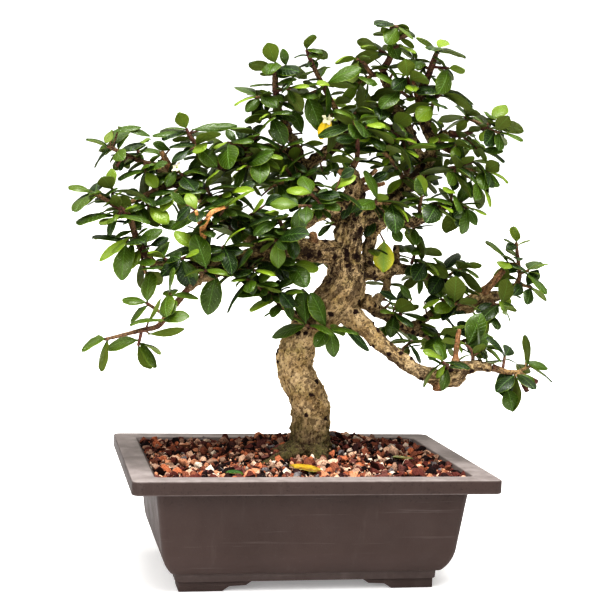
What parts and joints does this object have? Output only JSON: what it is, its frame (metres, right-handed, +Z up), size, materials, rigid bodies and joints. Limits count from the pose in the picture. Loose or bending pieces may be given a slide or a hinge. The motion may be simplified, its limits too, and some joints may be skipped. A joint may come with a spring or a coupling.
{
  "type": "fukien tea bonsai",
  "caption": "Bonsai tree with an S-curved trunk, spreading branches and sprays of small glossy leaves, in a rectangular footed plastic training pot of red-brown gravel",
  "frame": {"origin": "on the surface that the feet stand on, below the middle of the whole bonsai's box", "axes": "+Z up, +X to the right along the pot's long side as seen from the front, +Y towards the back"},
  "size_m": [0.3868, 0.2016, 0.4143],
  "materials": {
    "pot_plastic": "matt, lightly dusty",
    "gravel": "rough, mixed red-brown, cream and black",
    "bark": "rough tan-grey bark with dark knots",
    "leaf": "glossy above, dull and lighter below",
    "yellow_leaf": "satin",
    "pale_leaf": "satin",
    "flower": "matt"
  },
  "bodies": {
    "root": {"fallen_leaf_green": "leaf", "fallen_leaf_pale": "pale_leaf", "fallen_leaf_yellow": "yellow_leaf", "flower_left": "flower", "flower_top": "flower", "pot": "pot_plastic", "soil": "gravel", "spray_apex_fork": "leaf", "spray_apex_shoot": "leaf", "spray_back_left_shoot": "leaf", "spray_back_low_shoot": "leaf", "spray_back_right_shoot": "leaf", "spray_back_top_shoot": "leaf", "spray_block_end": "leaf", "spray_block_front": "leaf", "spray_block_under": "leaf", "spray_front_diagonal_end": "leaf", "spray_front_diagonal_side": "leaf", "spray_front_low_twig": "leaf", "spray_hanging_left": "leaf", "spray_hanging_pair": "leaf", "spray_high_end": "leaf", "spray_high_side": "leaf", "spray_inner_mid": "leaf", "spray_inner_top": "leaf", "spray_knob_leaves": "leaf", "spray_knot_shoot": "leaf", "spray_knot_side": "leaf", "spray_left_crown": "leaf", "spray_left_knob_twig": "leaf", "spray_left_mid_a": "leaf", "spray_left_mid_b": "leaf", "spray_left_mid_c": "leaf", "spray_left_reach": "leaf", "spray_left_top_reach": "leaf", "spray_left_under_a": "leaf", "spray_left_under_b": "leaf", "spray_left_under_c": "leaf", "spray_left_under_d": "leaf", "spray_limb_side": "leaf", "spray_lower_right_end": "leaf", "spray_lower_right_mid": "leaf", "spray_lower_right_top": "leaf", "spray_mid_crown": "leaf", "spray_mid_crown_front": "leaf", "spray_mid_right_end": "leaf", "spray_mid_right_side": "leaf", "spray_pale_twig": "leaf", "spray_pruned_fork": "leaf", "spray_right_crown": "leaf", "spray_right_crown_left": "leaf", "spray_right_crown_side": "leaf", "spray_right_limb_end": "leaf", "spray_right_limb_side": "leaf", "spray_right_shelf": "leaf", "spray_right_wing": "leaf", "spray_top_left_shoot": "leaf", "spray_top_mid_shoot": "leaf", "spray_trunk_sprout": "leaf", "tree_wood": "bark"}
  },
  "joints": []
}
